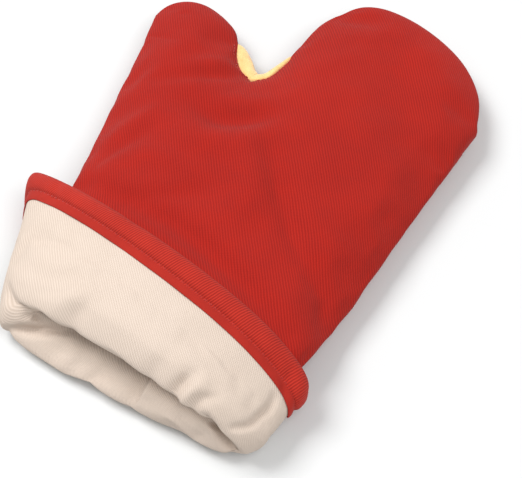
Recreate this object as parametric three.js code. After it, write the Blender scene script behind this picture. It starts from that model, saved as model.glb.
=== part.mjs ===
import * as THREE from 'three';

// An oven mitt lying palm down with its cuff turned back over itself.
// Millimetres. The thumb is at -X, the fingertips at +Y and the table at Z = 0.
//
// Every layer is cut from one base surface, the lining's inner face. It runs from the
// fingertips down the cavity, round the lip and back up the outside of the cuff to the hem.
// A layer is the space between two depths under that face, so the layers nest all the way
// and the shell, outermost on the hand, is innermost in the fold.

// Overall sizes
const WIDTH = 225; // thumb edge to little-finger edge
const LENGTH = 311; // lip of the cuff to the fingertips
const DRAWN_WIDTH = 225; // the size at which the outline points below are written
const DRAWN_LENGTH = 311;

// Cloth
const LINING = 1.0;
const FELT = 3.6;
const BARRIER = 0.5;
const SHELL = 1.0;
const GAP = 0.3; // between any two pieces

// How full the mitt is, measured on the lining's inner face
const BACK_RISE = 14; // from the side seam up to the back of the hand
const PALM_DROP = 9; // from the side seam down to the palm
const CUFF_RISE = 9;
const CUFF_DROP = 7.5;
const ROUNDING = 28; // distance from the edge over which the mitt reaches its full height
const RAMP = 42; // the palm comes down off the cuff's under layer over this length

// Hem of the turned-back cuff, along the drawn outline
const HEM_THUMB_Y = -60; // the turn-back is deepest on the thumb side
const HEM_FINGER_Y = -98;
const HEM_FLARE = 14; // how far the hem stands out from the thumb edge
const TAPE_WIDTH = 18;
const TAPE = 1.6; // folded bias tape, outside
const TAPE_LEG = 1.0; // its single leg on the hidden side
const TAPE_LEG_WIDTH = 12;
const STITCH_INSET = 5.6; // stitch line, from the tape's edge nearest the lip
const STITCH_GROOVE = 1.0;
const THREAD_RADIUS = 0.3;

// Guard strip in the web of the thumb
const WEB_EDGE = 0.4; // the strip's edge stands this much above the shell
const WEB_BULGE = 2.4; // and its middle this much above its edge
const WEB_ROWS = 3; // grid rows that the strip runs up the thumb and up the hand

// Grid
const THUMB_COLUMNS = 5;
const HAND_COLUMNS = 7;
const COLUMNS = THUMB_COLUMNS + HAND_COLUMNS;
const FOLD_STEPS = 5;

// Depths under the lining's inner face
const LINING_FACES = [0, LINING];
const FELT_FACES = [LINING + GAP, LINING + GAP + FELT];
const BARRIER_FACES = [FELT_FACES[1] + GAP, FELT_FACES[1] + GAP + BARRIER];
const SHELL_FACES = [BARRIER_FACES[1] + GAP, BARRIER_FACES[1] + GAP + SHELL];
const STACK = SHELL_FACES[1];

// The two shells face each other in the fold with room for the hem between them and the table
const HEM_LIFT = GAP + TAPE;
const FOLD_RADIUS = STACK + (HEM_LIFT + GAP + TAPE_LEG + 2 * GAP) / 2;

const UP = new THREE.Vector3(0, 0, 1);
const FINGERWARD = new THREE.Vector3(0, 1, 0);

function drawn(points) {
  const place = ([x, y]) => new THREE.Vector3(x * WIDTH / DRAWN_WIDTH, y * LENGTH / DRAWN_LENGTH, 0);
  return new THREE.CatmullRomCurve3(points.map(place), false, 'centripetal');
}

// The shell's outline seen from above
const thumbSide = drawn([[-52, -150], [-77, -57], [-94, 2], [-108, 45], [-112.5, 74], [-103, 93], [-88, 98]]);
const thumbWeb = drawn([[-88, 98], [-72, 95], [-55, 85], [-39, 68], [-28, 61]]);
const handWeb = drawn([[-28, 61], [-20.5, 72], [-17.5, 100], [-15.5, 126], [-5, 147], [14, 157], [34, 158.5]]);
const fingerSide = drawn([[92, -150], [100.5, -97], [105, -40], [106, 30], [109, 100], [100, 124],
  [80, 143], [58, 154], [34, 158.5]]);

const lengthwise = (y) => y * LENGTH / DRAWN_LENGTH;

// The body's rows as heights on the thumb side and on the finger side. They start at the web,
// and one lies along the hem and one along the tape's other edge.
const HEM_ROW = 5;
const hemRows = (beyond) => [lengthwise(HEM_THUMB_Y) + beyond, lengthwise(HEM_FINGER_Y) + beyond];
const LIP_CLEAR = 4; // body beyond the hem that is still at the cuff's height
const TAPE_CLEAR = 2;
const BODY_ROWS = [
  [lengthwise(47), lengthwise(57)],
  [lengthwise(41), lengthwise(50)],
  [lengthwise(22), lengthwise(28)],
  [lengthwise(2), lengthwise(-8)],
  hemRows(LIP_CLEAR + RAMP),
  hemRows(LIP_CLEAR),
  hemRows(-TAPE_WIDTH - TAPE_CLEAR),
  [lengthwise(-114), lengthwise(-131)],
  [lengthwise(-151) + FOLD_RADIUS, lengthwise(-150) + FOLD_RADIUS],
];
const MOUTH_ROW = BODY_ROWS.length - 1;
const THUMB_ROWS = [0.2, 0.4, 0.6, 0.8, 0.93, 1];
const HAND_ROWS = [0.09, 0.2, 0.34, 0.5, 0.66, 0.8, 0.92, 1];

// Fraction of the way along a curve at which it is at height y
function reachY(curve, y) {
  let low = 0;
  let high = 0.8;
  for (let i = 0; i < 40; i += 1) {
    const middle = (low + high) / 2;
    if (curve.getPointAt(middle).y < y) low = middle;
    else high = middle;
  }
  return low;
}

// A point of the base surface's outline: the shell's outline moved in by the layers
function edgePoint(curve, at, insideOnLeft) {
  const t = curve.getTangentAt(at);
  const inward = insideOnLeft ? new THREE.Vector3(-t.y, t.x, 0) : new THREE.Vector3(t.y, -t.x, 0);
  const point = curve.getPointAt(at).addScaledVector(inward, STACK);
  return { point, outward: inward.negate() };
}

// Where two outline curves meet. The offset is mitred, so that it stays parallel to both.
function meetingPoint(a, b) {
  const outward = a.outward.clone().add(b.outward);
  outward.multiplyScalar(2 / outward.lengthSq());
  const corner = a.point.clone().addScaledVector(a.outward, STACK);
  return { point: corner.addScaledVector(outward, -STACK), outward };
}

// Fractions from 0 to 1, close together at both ends
const bunched = (n) => Array.from({ length: n + 1 }, (_, i) => (1 - Math.cos(Math.PI * i / n)) / 2);

// The grid in plan. Vertices are {point, outward}; outward is set on the side seam only.
function planGrid() {
  const vertices = [];
  const add = (vertex) => vertices.push(vertex) - 1;
  const across = (left, right, fractions) => fractions.map((f, i) => {
    if (i === 0) return left;
    if (i === fractions.length - 1) return right;
    return add({ point: vertices[left].point.clone().lerp(vertices[right].point, f) });
  });

  const startLeft = reachY(thumbSide, BODY_ROWS[0][0]);
  const startRight = reachY(fingerSide, BODY_ROWS[0][1]);
  const web = add(meetingPoint(edgePoint(thumbWeb, 1, false), edgePoint(handWeb, 0, false)));
  const thumbTip = add(meetingPoint(edgePoint(thumbSide, 1, false), edgePoint(thumbWeb, 0, false)));
  const handTip = add(meetingPoint(edgePoint(handWeb, 1, false), edgePoint(fingerSide, 1, true)));
  const left = add(edgePoint(thumbSide, startLeft, false));
  const right = add(edgePoint(fingerSide, startRight, true));

  const first = [...across(left, web, bunched(THUMB_COLUMNS)),
    ...across(web, right, bunched(HAND_COLUMNS)).slice(1)];
  const width = vertices[right].point.x - vertices[left].point.x;
  const firstSpread = first.map((v) => (vertices[v].point.x - vertices[left].point.x) / width);
  const lastSpread = bunched(COLUMNS);

  const body = [first];
  for (let j = 1; j < BODY_ROWS.length; j += 1) {
    const [leftY, rightY] = BODY_ROWS[j];
    const a = add(edgePoint(thumbSide, reachY(thumbSide, leftY), false));
    const b = add(edgePoint(fingerSide, reachY(fingerSide, rightY), true));
    const mix = Math.min(1, (j - 1) / (HEM_ROW - 1));
    body.push(across(a, b, firstSpread.map((f, i) => f * (1 - mix) + lastSpread[i] * mix)));
  }

  const tube = (start, tip, fractions, leftEdge, rightEdge) => {
    const rows = [start];
    for (const f of fractions) {
      if (f === 1) rows.push(start.map(() => tip));
      else rows.push(across(add(leftEdge(f)), add(rightEdge(f)), bunched(start.length - 1)));
    }
    return rows;
  };
  const thumb = tube(first.slice(0, THUMB_COLUMNS + 1), thumbTip, THUMB_ROWS,
    (f) => edgePoint(thumbSide, startLeft + (1 - startLeft) * f, false),
    (f) => edgePoint(thumbWeb, 1 - f, false));
  const hand = tube(first.slice(THUMB_COLUMNS), handTip, HAND_ROWS,
    (f) => edgePoint(handWeb, f, false),
    (f) => edgePoint(fingerSide, startRight + (1 - startRight) * f, true));
  return { vertices, body, thumb, hand };
}

// Triangles between two rows, anticlockwise from above when the second row is fingerward.
// The cut across square i starts at the lower row's second corner where fromSecond says so.
function between(lower, upper, fromSecond) {
  const squares = lower.slice(1).map((_, i) => {
    const [a, b, c, d] = [lower[i], lower[i + 1], upper[i + 1], upper[i]];
    const pair = fromSecond(i) ? [[a, b, d], [b, c, d]] : [[a, b, c], [a, c, d]];
    return pair.filter(([p, q, r]) => p !== q && q !== r && r !== p);
  });
  return squares;
}

// The faces that the guard strip takes the shell's place on, and all the others. Both sides of
// the web are cut alike, as mirror images.
function planFaces(grid) {
  const web = [];
  const rest = [];
  const addRows = (lower, upper, inWeb, fromSecond) => between(lower, upper, fromSecond)
    .forEach((pair, i) => (inWeb(i) ? web : rest).push(...pair));
  for (let j = 0; j + 1 < grid.thumb.length; j += 1) {
    const inWeb = (i) => j < WEB_ROWS && i === THUMB_COLUMNS - 1;
    addRows(grid.thumb[j], grid.thumb[j + 1], inWeb, () => true);
  }
  for (let j = 0; j + 1 < grid.hand.length; j += 1) {
    addRows(grid.hand[j], grid.hand[j + 1], (i) => j < WEB_ROWS && i === 0, () => false);
  }
  const besideWeb = (i) => i === THUMB_COLUMNS - 1 || i === THUMB_COLUMNS;
  for (let j = 0; j < MOUTH_ROW; j += 1) {
    const inWeb = (i) => j === 0 && besideWeb(i);
    addRows(grid.body[j + 1], grid.body[j], inWeb, (i) => i < THUMB_COLUMNS);
  }
  return { web, rest, all: [...web, ...rest] };
}

// Fullness from 0 on the seam to nearly 1 in wide places: u - r^2 (d2u/dx2 + d2u/dy2) = 1 with u = 0
// on the seam, solved by finite elements, then its square root so that the edges are round
function fullness(vertices, faces) {
  const mass = vertices.map(() => 0);
  const links = vertices.map(() => new Map());
  const join = (a, b, w) => links[a].set(b, (links[a].get(b) ?? 0) + w);
  for (const face of faces) {
    const [p, q, r] = face.map((v) => vertices[v].point);
    const area = q.clone().sub(p).cross(r.clone().sub(p)).length() / 2;
    for (let k = 0; k < 3; k += 1) {
      const [a, b, c] = [face[k], face[(k + 1) % 3], face[(k + 2) % 3]];
      const ab = vertices[a].point.clone().sub(vertices[c].point);
      const bc = vertices[b].point.clone().sub(vertices[c].point);
      const weight = ROUNDING ** 2 * ab.dot(bc) / (4 * area);
      join(a, b, weight);
      join(b, a, weight);
      mass[a] += area / 3;
    }
  }
  const u = vertices.map(() => 0);
  for (let sweep = 0; sweep < 600; sweep += 1) {
    for (let v = 0; v < u.length; v += 1) {
      if (!vertices[v].outward) {
        let sum = mass[v];
        let weight = mass[v];
        for (const [other, w] of links[v]) {
          sum += w * u[other];
          weight += w;
        }
        u[v] = sum / weight;
      }
    }
  }
  return u.map((value) => Math.sqrt(Math.max(0, value)));
}

const smooth = (x) => THREE.MathUtils.smoothstep(x, 0, 1);

// 0 on the hand, 1 where the cuff lies under the palm
function onCuff(point, left, right) {
  const across = THREE.MathUtils.clamp((point.x - left.x) / (right.x - left.x), 0, 1);
  const hem = lengthwise(HEM_THUMB_Y + (HEM_FINGER_Y - HEM_THUMB_Y) * across) + LIP_CLEAR;
  return smooth(1 - (point.y - hem) / RAMP);
}

// One half of the base surface in space: positions, and offsets that lead one millimetre outward
function raise(grid, faces, full, side) {
  const ends = [grid.body[HEM_ROW][0], grid.body[HEM_ROW][COLUMNS]].map((v) => grid.vertices[v].point);
  const floors = [];
  const positions = grid.vertices.map(({ point, outward }, v) => {
    const cuff = onCuff(point, ...ends);
    const floor = THREE.MathUtils.lerp(STACK, 2 * FOLD_RADIUS, cuff);
    const seam = floor + THREE.MathUtils.lerp(PALM_DROP, CUFF_DROP, cuff);
    const rise = THREE.MathUtils.lerp(BACK_RISE, CUFF_RISE, cuff) * full[v];
    const drop = Math.min(BACK_RISE * full[v], seam - floor);
    floors.push(side < 0 && !outward && drop === seam - floor);
    return new THREE.Vector3(point.x, point.y, side > 0 ? seam + rise : seam - drop);
  });

  const normals = positions.map(() => new THREE.Vector3());
  const faceNormals = faces.map(([a, b, c]) => {
    const ab = positions[b].clone().sub(positions[a]);
    return ab.cross(positions[c].clone().sub(positions[a])).multiplyScalar(side);
  });
  faces.forEach((face, f) => face.forEach((v) => normals[v].add(faceNormals[f])));
  const straightness = positions.map(() => [0, 0]);
  normals.forEach((n) => n.normalize());
  faces.forEach((face, f) => face.forEach((v) => {
    straightness[v][0] += normals[v].dot(faceNormals[f]);
    straightness[v][1] += faceNormals[f].length();
  }));
  const offsets = normals.map((normal, v) => {
    if (grid.vertices[v].outward) return grid.vertices[v].outward.clone();
    if (floors[v]) return normal.divideScalar(-normal.z);
    normal.divideScalar(Math.max(0.75, straightness[v][0] / straightness[v][1]));
    // Beside the flat of the palm nothing reaches lower than the flat does
    return normal.z < -1 ? normal.divideScalar(-normal.z) : normal;
  });
  return { positions, offsets };
}

// Adds the lip's turn and the turned-back cuff to one half. Returns the rows of new vertices.
function turnBack(grid, half) {
  const { positions, offsets } = half;
  const add = (position, offset) => {
    offsets.push(offset);
    return positions.push(position) - 1;
  };
  const rows = [grid.body[MOUTH_ROW]];
  for (let k = 1; k < FOLD_STEPS; k += 1) {
    const angle = Math.PI * k / FOLD_STEPS;
    rows.push(grid.body[MOUTH_ROW].map((v) => {
      const inward = offsets[v].clone().multiplyScalar(Math.cos(angle));
      inward.addScaledVector(FINGERWARD, Math.sin(angle));
      const centre = positions[v].clone().addScaledVector(offsets[v], FOLD_RADIUS);
      return add(centre.addScaledVector(inward, -FOLD_RADIUS), inward);
    }));
  }
  const lift = half.side < 0 ? HEM_LIFT : 0;
  const cuffRows = [[MOUTH_ROW, 0, 0], [MOUTH_ROW - 1, 0.45, 0], [HEM_ROW + 1, 0.85, 1], [HEM_ROW, 1, 1]];
  for (const [row, flare, lifted] of cuffRows) {
    rows.push(grid.body[row].map((v, i) => {
      const point = positions[v].clone().addScaledVector(offsets[v], 2 * FOLD_RADIUS);
      point.x -= HEM_FLARE * flare * smooth(1 - 2 * i / COLUMNS);
      point.z += lift * lifted * Math.max(0, -offsets[v].z);
      return add(point, offsets[v].clone().negate());
    }));
  }
  // The last row lies beyond the hem and moves back to it
  const back = LIP_CLEAR / (LIP_CLEAR + TAPE_WIDTH + TAPE_CLEAR);
  const [inner, hem] = rows.slice(-2);
  hem.forEach((v, i) => {
    positions[v].lerp(positions[inner[i]], back);
    offsets[v].lerp(offsets[inner[i]], back);
  });
  return rows;
}

function solid(name, positions, faces, material) {
  const geometry = new THREE.BufferGeometry();
  const used = new Map();
  const coordinates = [];
  const index = faces.flat().map((v) => {
    if (!used.has(v)) {
      used.set(v, used.size);
      coordinates.push(...positions[v].toArray());
    }
    return used.get(v);
  });
  geometry.setAttribute('position', new THREE.Float32BufferAttribute(coordinates, 3));
  geometry.setIndex(index);
  geometry.computeVertexNormals();
  const mesh = new THREE.Mesh(geometry, material);
  mesh.name = name;
  return mesh;
}

// The closed body between two sheets of the same faces. A face's own side is the far sheet's.
function slab(name, faces, near, far, material) {
  const count = near.length;
  const edges = new Map();
  for (const [a, b, c] of faces) {
    for (const [from, to] of [[a, b], [b, c], [c, a]]) edges.set(`${from},${to}`, [from, to]);
  }
  const border = [...edges.values()].filter(([from, to]) => !edges.has(`${to},${from}`));
  const walls = border.flatMap(([from, to]) => [
    [from, to, to + count],
    [from, to + count, from + count],
  ]);
  const top = faces.map((face) => face.map((v) => v + count));
  const bottom = faces.map(([a, b, c]) => [c, b, a]);
  return solid(name, [...near, ...far], [...top, ...bottom, ...walls], material);
}

// A closed band or a capped bar through rings of points, each ring going round the same way
function sweep(name, rings, closed, material) {
  const n = rings[0].length;
  const faces = [];
  const spans = closed ? rings.length : rings.length - 1;
  for (let k = 0; k < spans; k += 1) {
    const next = (k + 1) % rings.length;
    for (let i = 0; i < n; i += 1) {
      const [a, b] = [k * n + i, k * n + (i + 1) % n];
      const [c, d] = [next * n + (i + 1) % n, next * n + i];
      faces.push([a, b, c], [a, c, d]);
    }
  }
  if (!closed) {
    const last = (rings.length - 1) * n;
    for (let i = 1; i + 1 < n; i += 1) {
      faces.push([0, i + 1, i], [last, last + i, last + i + 1]);
    }
  }
  return solid(name, rings.flat(), faces, material);
}

const cloth = (color, roughness = 0.9) => new THREE.MeshStandardMaterial({ color, roughness });
const RED = cloth(0xb82d26);
const TAPE_RED = cloth(0xc0302a);
const CREAM = cloth(0xe8dacb);
const FELT_WHITE = cloth(0xd9d6cf);
const FILM = cloth(0x9aa0a6, 0.5);
const YELLOW = cloth(0xf0d782);
const THREAD = cloth(0xa82822, 0.7);

const grid = planGrid();
const plan = planFaces(grid);
const full = fullness(grid.vertices, plan.all);

function makeHalf(sign) {
  const half = { ...raise(grid, plan.all, full, sign), side: sign };
  half.rows = turnBack(grid, half);
  // The squares of the cuff are cut the same way as the binding's, so that the two stay parallel
  half.cuff = half.rows.slice(1).flatMap((row, k) => between(row, half.rows[k], () => sign > 0).flat());
  // The side seam: the two halves stop half a gap short of each other
  half.apart = half.positions.map(() => 0);
  const seam = [...grid.vertices.keys()].filter((v) => grid.vertices[v].outward);
  const cuffSeam = half.rows.slice(1).flatMap((row) => [row[0], row[COLUMNS]]);
  for (const v of [...seam, ...cuffSeam]) half.apart[v] = sign * GAP / 2;
  return half;
}

const at = (half, v, depth) => half.positions[v].clone().addScaledVector(half.offsets[v], depth);
const turned = (faces, half) => (half.side > 0 ? faces : faces.map(([a, b, c]) => [c, b, a]));

function layer(name, half, faces, [near, far], material) {
  const sheet = (depth) => half.positions.map((_, v) => at(half, v, depth)
    .addScaledVector(UP, half.apart[v]));
  return slab(name, turned(faces, half), sheet(near), sheet(far), material);
}

// The guard strip takes the shell's place between both panels in the web
function webGuard(back, palm) {
  const seam = new Set(plan.web.flat().filter((v) => grid.vertices[v].outward));
  const ends = new Map([
    [grid.thumb[WEB_ROWS][THUMB_COLUMNS], grid.thumb[WEB_ROWS - 1][THUMB_COLUMNS]],
    [grid.hand[WEB_ROWS][0], grid.hand[WEB_ROWS - 1][0]],
  ]);
  const beside = (v) => plan.web.filter((face) => face.includes(v)).flat().filter((w) => w !== v);
  // A vertex on the strip's border stands a gap back from the shell
  const sheet = (half, depth, bulge) => grid.vertices.map((_, v) => {
    if (seam.has(v) && !ends.has(v)) return at(half, v, depth + bulge);
    const point = at(half, v, depth);
    const inside = ends.has(v) ? [ends.get(v)] : beside(v);
    if (inside.length === 0) return point;
    const centre = inside.reduce((sum, w) => sum.add(at(half, w, depth)), new THREE.Vector3());
    return point.addScaledVector(centre.divideScalar(inside.length).sub(point).normalize(), GAP);
  });
  const count = grid.vertices.length;
  const palmOf = (v) => (seam.has(v) ? v : v + count);
  const faces = [...plan.web, ...plan.web.map(([a, b, c]) => [palmOf(c), palmOf(b), palmOf(a)])];
  const under = SHELL_FACES[0] + GAP;
  const over = STACK + WEB_EDGE;
  const near = [...sheet(back, under, 0), ...sheet(palm, under, 0)];
  const far = [...sheet(back, over, WEB_BULGE), ...sheet(palm, over, WEB_BULGE)];
  return slab('web_guard', faces, near, far, YELLOW);
}

// The guard strip's border away from the seam, thumb to hand
function webBorder() {
  const rows = Array.from({ length: WEB_ROWS }, (_, j) => j + 1);
  return [
    ...rows.map((j) => grid.thumb[j][THUMB_COLUMNS - 1]).reverse(),
    grid.body[0][THUMB_COLUMNS - 1],
    ...[-1, 0, 1].map((i) => grid.body[1][THUMB_COLUMNS + i]),
    grid.body[0][THUMB_COLUMNS + 1],
    ...rows.map((j) => grid.hand[j][1]),
  ];
}

// A square thread along points, with the directions that lead away from the cloth
function thread(name, points, outwards, closed) {
  const rings = points.map((point, k) => {
    const before = points[closed ? (k + points.length - 1) % points.length : Math.max(0, k - 1)];
    const after = points[closed ? (k + 1) % points.length : Math.min(points.length - 1, k + 1)];
    const along = after.clone().sub(before).normalize();
    const aside = outwards[k].clone().cross(along).normalize().multiplyScalar(THREAD_RADIUS);
    const away = along.clone().cross(aside).normalize().multiplyScalar(THREAD_RADIUS);
    return [aside, away, aside.clone().negate(), away.clone().negate()].map((d) => point.clone().add(d));
  });
  return sweep(name, rings, closed, THREAD);
}

function webThread(name, half) {
  const path = webBorder();
  const depth = STACK + WEB_EDGE + GAP + THREAD_RADIUS;
  const outwards = path.map((v) => half.offsets[v].clone().normalize());
  return thread(name, path.map((v) => at(half, v, depth)), outwards, false);
}

// The hem all round, as {inner, edge}: a point of the lining's face and its depth direction at each
function hemStations(back, palm) {
  const station = (half, i) => {
    const [inner, edge] = half.rows.slice(-2).map((row) => row[i]);
    const along = half.positions[edge].clone().sub(half.positions[inner]);
    return { half, inner, edge, length: along.length() };
  };
  const stations = [];
  for (let i = 0; i <= COLUMNS; i += 1) stations.push(station(back, i));
  for (let i = COLUMNS - 1; i > 0; i -= 1) stations.push(station(palm, i));
  return stations;
}

// A point inset from the hem towards the lip, at a depth under the lining's face
function onHem({ half, inner, edge, length }, inset, depth) {
  return at(half, edge, depth).lerp(at(half, inner, depth), inset / length);
}

function binding(stations) {
  const outer = -GAP - TAPE;
  const under = STACK + GAP;
  const groove = TAPE_WIDTH - STITCH_INSET;
  const profile = [
    [-GAP, -GAP],
    [-GAP, under],
    [TAPE_LEG_WIDTH, under],
    [TAPE_LEG_WIDTH, under + TAPE_LEG],
    [0, under + TAPE_LEG],
    [-GAP - TAPE_LEG, STACK],
    [-GAP - TAPE_LEG, 0],
    [0, outer],
    [groove - STITCH_GROOVE, outer],
    [groove - STITCH_GROOVE / 2, outer + STITCH_GROOVE],
    [groove + STITCH_GROOVE / 2, outer + STITCH_GROOVE],
    [groove + STITCH_GROOVE, outer],
    [TAPE_WIDTH, outer],
    [TAPE_WIDTH, -GAP],
  ];
  const rings = stations.map((s) => profile.map(([inset, depth]) => onHem(s, inset, depth)));
  return sweep('cuff_binding', rings, true, TAPE_RED);
}

function bindingThread(stations) {
  const depth = -GAP - TAPE + STITCH_GROOVE - GAP - THREAD_RADIUS;
  const points = stations.map((s) => onHem(s, TAPE_WIDTH - STITCH_INSET, depth));
  const outwards = stations.map((s) => s.half.offsets[s.edge].clone().negate().normalize());
  return thread('binding_stitching', points, outwards, true);
}

const back = makeHalf(1);
const palm = makeHalf(-1);
const stations = hemStations(back, palm);

const mitt = new THREE.Group();
mitt.name = 'oven_mitt';
for (const [label, half] of [['back', back], ['palm', palm]]) {
  const whole = [...plan.all, ...half.cuff];
  mitt.add(
    layer(`shell_${label}`, half, [...plan.rest, ...half.cuff], SHELL_FACES, RED),
    layer(`steam_barrier_${label}`, half, whole, BARRIER_FACES, FILM),
    layer(`felt_${label}`, half, whole, FELT_FACES, FELT_WHITE),
    layer(`lining_${label}`, half, whole, LINING_FACES, CREAM),
    webThread(`web_stitching_${label}`, half),
  );
}
mitt.add(webGuard(back, palm), binding(stations), bindingThread(stations));

// The middle of the mitt's box is at X = Y = 0 and its lowest point at Z = 0
const box = new THREE.Box3().setFromObject(mitt);
const middle = box.getCenter(new THREE.Vector3());
for (const mesh of mitt.children) mesh.geometry.translate(-middle.x, -middle.y, -box.min.z);

export default mitt;
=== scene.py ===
# %% [markdown]
# # An oven mitt with its cuff turned back
# The mitt lies palm down. Its red shell, cream lining, hem tape and the guard strip in the
# web of the thumb are all cloth, so this lesson makes each one as a surface worked out with
# numpy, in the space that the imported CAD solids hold. We start by loading that fixed frame.

# %% The frame
import math

import bpy
import numpy as np
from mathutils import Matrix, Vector


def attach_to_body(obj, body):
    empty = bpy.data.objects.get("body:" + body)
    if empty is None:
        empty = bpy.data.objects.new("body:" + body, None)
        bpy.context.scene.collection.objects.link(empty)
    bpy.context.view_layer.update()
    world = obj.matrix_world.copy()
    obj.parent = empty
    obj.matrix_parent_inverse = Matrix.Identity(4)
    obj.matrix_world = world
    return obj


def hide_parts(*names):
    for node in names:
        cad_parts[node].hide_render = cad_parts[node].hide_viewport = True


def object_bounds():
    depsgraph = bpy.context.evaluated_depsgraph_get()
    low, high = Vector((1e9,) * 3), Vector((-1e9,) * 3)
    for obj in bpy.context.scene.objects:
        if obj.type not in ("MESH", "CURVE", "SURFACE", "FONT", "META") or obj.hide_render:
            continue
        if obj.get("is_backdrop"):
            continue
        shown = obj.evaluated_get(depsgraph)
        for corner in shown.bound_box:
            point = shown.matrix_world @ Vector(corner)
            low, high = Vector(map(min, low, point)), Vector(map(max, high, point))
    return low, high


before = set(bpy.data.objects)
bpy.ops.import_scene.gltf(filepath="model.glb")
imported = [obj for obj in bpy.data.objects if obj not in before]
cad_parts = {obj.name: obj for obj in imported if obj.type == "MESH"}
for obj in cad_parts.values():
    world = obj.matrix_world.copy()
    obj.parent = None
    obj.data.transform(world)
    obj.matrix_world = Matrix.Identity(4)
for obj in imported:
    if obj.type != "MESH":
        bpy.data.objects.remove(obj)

MM = 0.001
FULL_TURN = 2 * math.pi
cad_low, cad_high = (np.array(corner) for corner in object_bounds())
print("CAD box, mm:", (cad_high - cad_low) / MM)

# %% [markdown]
# ## A smooth curve through a few points
# A pattern cutter draws an outline from a few marks and a flexible curve. We do the same:
# every outline, and every change along the cuff, is a smooth curve through a few marks, so
# one mark can be moved and everything follows. Numpy reads such a curve at all its points at
# once.

# %% Curves
OUTLINE_SAMPLES = 400  # points of one smooth curve


def through(points, knots, at):
    """Curve through points (first axis) placed at knots, read at the places `at`.
    Cubic Hermite: the slope at a point is the mean of the slopes beside it, each weighted by
    the length of the other side."""
    tall = (-1,) + (1,) * (points.ndim - 1)
    gap = np.diff(knots)
    slope = np.diff(points, axis=0) / gap.reshape(tall)
    before, after = gap[:-1].reshape(tall), gap[1:].reshape(tall)
    inner = (slope[:-1] * after + slope[1:] * before) / (before + after)
    tangent = np.concatenate([slope[:1], inner, slope[-1:]])
    k = np.clip(np.searchsorted(knots, at, side="right") - 1, 0, len(gap) - 1)
    u = ((at - knots[k]) / gap[k]).reshape(tall)
    h = gap[k].reshape(tall)
    start, end = (2 * u**3 - 3 * u**2 + 1), (3 * u**2 - 2 * u**3)
    leave, arrive = (u**3 - 2 * u**2 + u) * h, (u**3 - u**2) * h
    return start * points[k] + end * points[k + 1] + leave * tangent[k] + arrive * tangent[k + 1]


def lengths(points):
    """Distance along a line of points, from its first."""
    steps = np.linalg.norm(np.diff(points, axis=0), axis=1)
    return np.concatenate([[0.0], np.cumsum(steps)])


def outline(*marks):
    """A dense line of points along the smooth curve through the marks."""
    marks = np.array(marks, float)
    knots = lengths(marks)
    return through(marks, knots, np.linspace(0, knots[-1], OUTLINE_SAMPLES))


def along(line, fractions):
    """Points of a line at fractions of its length."""
    run = lengths(line)
    return np.stack([np.interp(fractions, run / run[-1], column) for column in line.T], axis=1)


def inset(line, distance):
    """The line moved sideways to its right. Right is the travel direction turned clockwise."""
    travel = np.gradient(line, axis=0)
    travel /= np.linalg.norm(travel, axis=1, keepdims=True)
    return line + distance * np.stack([travel[:, 1], -travel[:, 0]], axis=1)


print("each curve is read at", OUTLINE_SAMPLES, "points")

# %% [markdown]
# ## The mitt's plan
# Two flat panels, back and palm, are cut to one outline and sewn together round it. The
# outline runs up the thumb, down into its web, over the fingertips and down the far side. It
# is drawn in millimetres as seen from above, and shifted so that the thumb edge and the
# fingertips touch the CAD box. Marks lie close together only where the seam turns quickly.

# %% The outline
THUMB_EDGE_X, FINGERTIP_Y = -112.5, 158.5
SHIFT = np.array([cad_low[0] / MM - THUMB_EDGE_X, cad_high[1] / MM - FINGERTIP_Y, 0.0])
THICKNESS = 7.0  # shell, steam barrier, felt and lining together

thumb_side = outline((-60, -105), (-73.5, -57), (-82.5, -28), (-91.5, 2), (-99.5, 35.5), (-109, 71))
thumb_top = outline((-109, 71), (-108.5, 80), (-99, 92), (-84, 96), (-70, 93))
thumb_web = outline((-70, 93), (-59, 88.5), (-50, 79), (-42.5, 69), (-35, 62.5), (-27, 60))
hand_web = outline((-27, 60), (-21.5, 66), (-19.5, 76), (-18, 100), (-15.5, 122), (-9, 137.5))
hand_top = outline((-9, 137.5), (-2, 149), (9, 155), (28, 157), (52, 153.5), (78, 143), (96, 127),
                   (108.5, 102))
hand_side = outline((108.5, 102), (108, 85), (107.5, 50), (106.5, 8), (105.5, -40), (102, -97), (98, -118))
WEB = thumb_web[-1]
print("thumb and hand tops reach y =", thumb_top[:, 1].max().round(1), hand_top[:, 1].max().round(1))

# %% [markdown]
# ## A grid on the plan
# A sheet of quads is easiest to shape when its rows follow the outline. A *Coons patch*
# fills the space between four curves with such rows. The mitt is three patches that share
# their edges: the body below the web, the thumb, and the hand.

# %% Three patches
THUMB_COLUMNS, HAND_COLUMNS = 24, 42
COLUMNS = THUMB_COLUMNS + HAND_COLUMNS
BODY_ROWS, THUMB_ROWS, HAND_ROWS = 30, 16, 30
BODY_TOP_LEFT_Y, BODY_TOP_RIGHT_Y = 47.0, 57.0  # where the body's first row meets the sides
WEB_SAMPLES_LEFT_OUT = 20  # next to the web, where a line that is moved in would cross itself


def bunched(n, strength=0.75):
    """n + 1 fractions from 0 to 1 that stand closer together near both ends."""
    even = np.linspace(0, 1, n + 1)
    return (1 - strength) * even + strength * (1 - np.cos(np.pi * even)) / 2


def coons(bottom, top, left, right, across, up):
    """Points between four curves: the blend of left and right, plus the blend of bottom and
    top, less the blend of the four corners."""
    u, v = across[None, :, None], up[:, None, None]
    sides = (1 - u) * left[:, None] + u * right[:, None]
    ends = (1 - v) * bottom[None] + v * top[None]
    corners = ((1 - v) * ((1 - u) * bottom[0] + u * bottom[-1])
               + v * ((1 - u) * top[0] + u * top[-1]))
    return sides + ends - corners


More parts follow.
